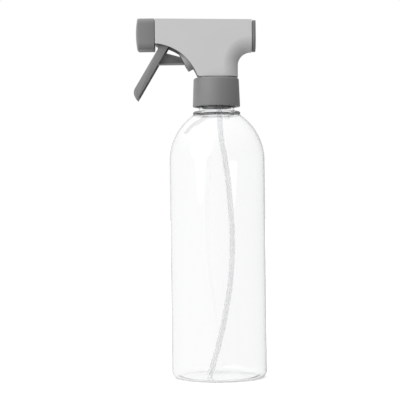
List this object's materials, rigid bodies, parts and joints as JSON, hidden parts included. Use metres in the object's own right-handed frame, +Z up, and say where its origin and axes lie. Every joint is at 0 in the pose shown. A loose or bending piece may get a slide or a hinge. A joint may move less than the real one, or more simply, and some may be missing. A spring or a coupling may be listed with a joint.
{
  "type": "trigger spray bottle",
  "caption": "Hand mister: clear cylindrical bottle with a round shoulder, grey screw collar, trigger pump head, square turning nozzle and a bent dip tube.",
  "frame": {"origin": "on the surface the bottle stands on, below the middle of the object's outline", "axes": "+Z up along the bottle's axis, the nozzle points along -X, +Y to the side"},
  "size_m": [0.093, 0.068, 0.2569],
  "materials": {
    "clear_pet": "clear, glossy",
    "shroud_grey": "light grey moulded polypropylene, satin",
    "dark_grey": "mid grey moulded polypropylene, satin",
    "pump_grey": "grey moulded polypropylene",
    "tube_clear": "translucent polyethylene",
    "natural_plastic": "natural polyethylene",
    "gasket_foam": "foamed polyethylene",
    "black_rubber": "moulded rubber",
    "spring_steel": "drawn wire",
    "ball_steel": "polished"
  },
  "bodies": {
    "bottle": {"bottle": "clear_pet"},
    "head": {"pump_body": "pump_grey", "shroud": "shroud_grey", "rear_cap": "dark_grey", "neck_gasket": "gasket_foam", "tube_retainer": "natural_plastic", "dip_tube": "tube_clear", "return_spring": "spring_steel", "outlet_valve_spring": "spring_steel", "spinner": "natural_plastic", "nozzle_seal": "black_rubber"},
    "closure": {"closure_collar": "dark_grey"},
    "trigger": {"trigger": "dark_grey"},
    "piston": {"piston": "natural_plastic", "vent_seal": "black_rubber", "piston_seal": "black_rubber"},
    "nozzle": {"nozzle_cap": "dark_grey", "orifice_insert": "dark_grey"},
    "inlet_ball": {"inlet_ball": "ball_steel"},
    "outlet_valve": {"outlet_valve": "natural_plastic"}
  },
  "joints": [
    {"name": "head_lift", "type": "slide", "parent": "bottle", "child": "head", "axis": [0, 0, 1], "range_m": [0, 0.00635]},
    {"name": "closure_turn", "type": "hinge", "parent": "head", "child": "closure", "pos_m": [0.0124, 0, 0.204], "axis": [0, 0, 1], "range_deg": [0, 540]},
    {"name": "trigger_squeeze", "type": "hinge", "parent": "head", "child": "trigger", "pos_m": [-0.02062, 0, 0.24387], "axis": [0, -1, 0], "range_deg": [0, 18]},
    {"name": "piston_slide", "type": "slide", "parent": "head", "child": "piston", "axis": [0.8805, 0, 0.4741], "range_m": [0, 0.00647], "stiffness_N_per_m": 1060, "springref_m": -0.0076, "deforming": ["return_spring"]},
    {"name": "nozzle_turn", "type": "hinge", "parent": "head", "child": "nozzle", "pos_m": [-0.0374, 0, 0.24575], "axis": [1, 0, 0], "continuous": true},
    {"name": "inlet_ball_lift", "type": "slide", "parent": "head", "child": "inlet_ball", "axis": [0, 0, 1], "range_m": [0, 0.002]},
    {"name": "outlet_valve_open", "type": "slide", "parent": "head", "child": "outlet_valve", "axis": [-1, 0, 0], "range_m": [0, 0.0008], "stiffness_N_per_m": 40, "springref_m": -0.004, "deforming": ["outlet_valve_spring"]}
  ],
  "couplings": [
    {"joint": "closure_turn", "follows": "head_lift", "rad_per_m": 1484.3},
    {"joint": "trigger_squeeze", "follows": "piston_slide", "rad_per_m": 48.544}
  ]
}
